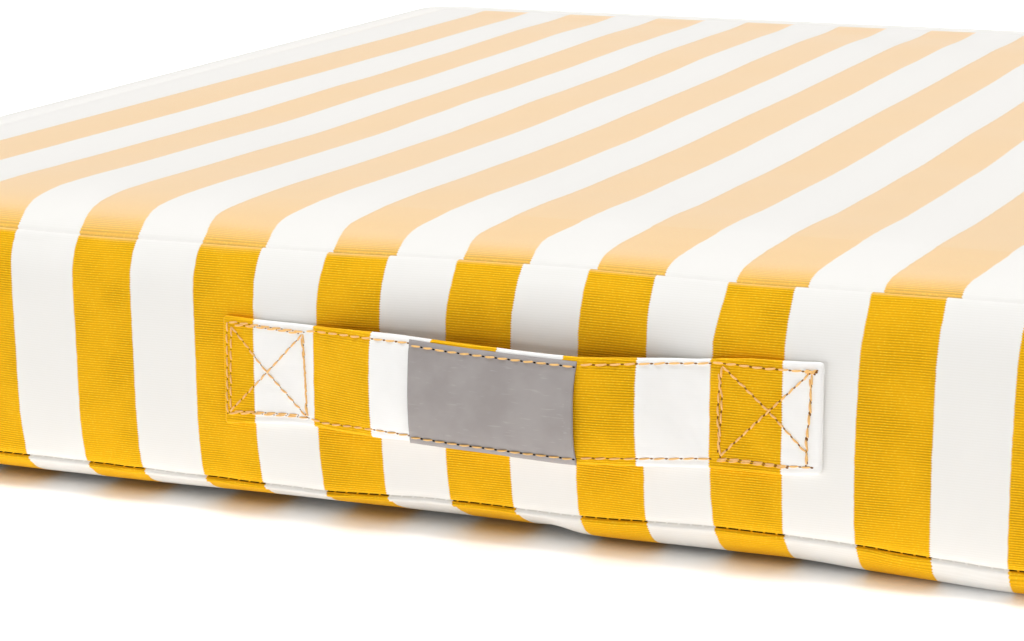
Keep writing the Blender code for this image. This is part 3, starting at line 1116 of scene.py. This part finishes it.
# %% Floor
FLOOR_HALF, FLOOR_DROP = 15.0, 0.0003
GLOW_START, GLOW_FULL = -22 * MM, 2 * MM  # counted outwards from the cushion's outline
GLOW_STRENGTH = 0.42

h = FLOOR_HALF
plate = bpy.data.meshes.new("studio_floor")
plate.from_pydata([(-h, -h, 0), (h, -h, 0), (h, h, 0), (-h, h, 0)], [], [(0, 1, 2, 3)])
obj = bpy.data.objects.new("studio_floor", plate)
bpy.context.scene.collection.objects.link(obj)
obj.location.z = -FLOOR_DROP
r = Recipe("studio_floor")
# Painted light: the floor glows, fading to nothing in a band along the cushion's outline.
place = r.add("SeparateXYZ", {0: r.add("TexCoord").outputs["Object"]})
beside = r.math("SUBTRACT", r.math("ABSOLUTE", place.outputs[0]), HALF)
before = r.math("ADD", r.math("ABSOLUTE", place.outputs[1]), BED)
clear = r.ramp(r.math("MAXIMUM", beside, before), GLOW_START, GLOW_FULL)
floor_painted_glow = r.mix(clear, rgb(0.0, 0.0, 0.0), rgb(1.0, 1.0, 1.0))
r.put(r.shader.inputs["Emission Color"], floor_painted_glow)
r.shader.inputs["Emission Strength"].default_value = GLOW_STRENGTH
r.shader.inputs["Specular IOR Level"].default_value = 0.35
plate.materials.append(r.finish(rgb(0.985, 0.985, 0.985), 0.30))
print("floor plate of %.0f m" % (2 * FLOOR_HALF))

# %% [markdown]
# ## Light
#
# Nearly all the light falls straight down from a large lamp with a narrow spread, so the top is
# washed out and the front stays rich; the painted sheen and wash in the cloth add to the top's
# pale look. A long low lamp fills the front, a third one the far edge.

# %% Light
WORLD_LIGHT = 0.18


def soft_light(name, place, aim, size, watts, spread=180.0):
    """A rectangular lamp at place, turned towards aim; spread in degrees."""
    lamp = bpy.data.lights.new(name, "AREA")
    lamp.shape = "RECTANGLE"
    lamp.size, lamp.size_y = size
    lamp.energy = watts
    lamp.spread = math.radians(spread)
    obj = bpy.data.objects.new(name, lamp)
    obj.location = place
    obj.rotation_euler = (Vector(aim) - Vector(place)).to_track_quat("-Z", "Y").to_euler()
    bpy.context.scene.collection.objects.link(obj)


world = bpy.data.worlds.new("studio")
world.use_nodes = True
backdrop = world.node_tree.nodes["Background"]
backdrop.inputs["Color"].default_value = rgb(1.0, 1.0, 1.0)
backdrop.inputs["Strength"].default_value = WORLD_LIGHT
bpy.context.scene.world = world
soft_light("overhead", (-0.4, 0.8, 3.0), (-0.4, 0.8, 0), (8.0, 8.0), 185.0, spread=34.0)
soft_light("front", (-0.8, -2.6, 0.17), (0, -0.3, 0.06), (3.4, 0.32), 12.5)
soft_light("behind", (-0.4, 3.4, 1.1), (0, 0, 0.6), (5.0, 2.0), 38.0)
print("three soft lamps and a world of strength", WORLD_LIGHT)

# %% [markdown]
# ## Camera
#
# The camera stands to the right of the front and looks down on it by about thirteen degrees. Its
# place, its angles and its focal length were fitted to the edges of the stripes.

# %% Camera
SENSOR_WIDTH = 36.0
FOCAL_PIXELS, PICTURE_WIDTH = 2875, 1024
CAMERA_AT = Vector((347.4, -1160.1, 279.1)) * MM
YAW, PITCH, ROLL = (math.radians(a) for a in (22.46, 12.64, -0.14))
camera_data = bpy.data.cameras.new("camera")
camera_data.lens = SENSOR_WIDTH * FOCAL_PIXELS / PICTURE_WIDTH
camera_data.sensor_width = SENSOR_WIDTH
camera_data.clip_start = 0.05
camera = bpy.data.objects.new("camera", camera_data)
forward = Vector(
    (-math.sin(YAW) * math.cos(PITCH), math.cos(YAW) * math.cos(PITCH), -math.sin(PITCH))
)
level = Vector((math.cos(YAW), math.sin(YAW), 0.0))
upright = level.cross(forward)
right = level * math.cos(ROLL) + upright * math.sin(ROLL)
upward = upright * math.cos(ROLL) - level * math.sin(ROLL)
turned = Matrix((right, upward, -forward)).transposed().to_4x4()
camera.matrix_world = Matrix.Translation(CAMERA_AT) @ turned
bpy.context.scene.collection.objects.link(camera)
bpy.context.scene.camera = camera
bpy.context.scene.view_settings.view_transform = "Standard"
print("camera lens %.1f mm" % camera_data.lens)

# %% [markdown]
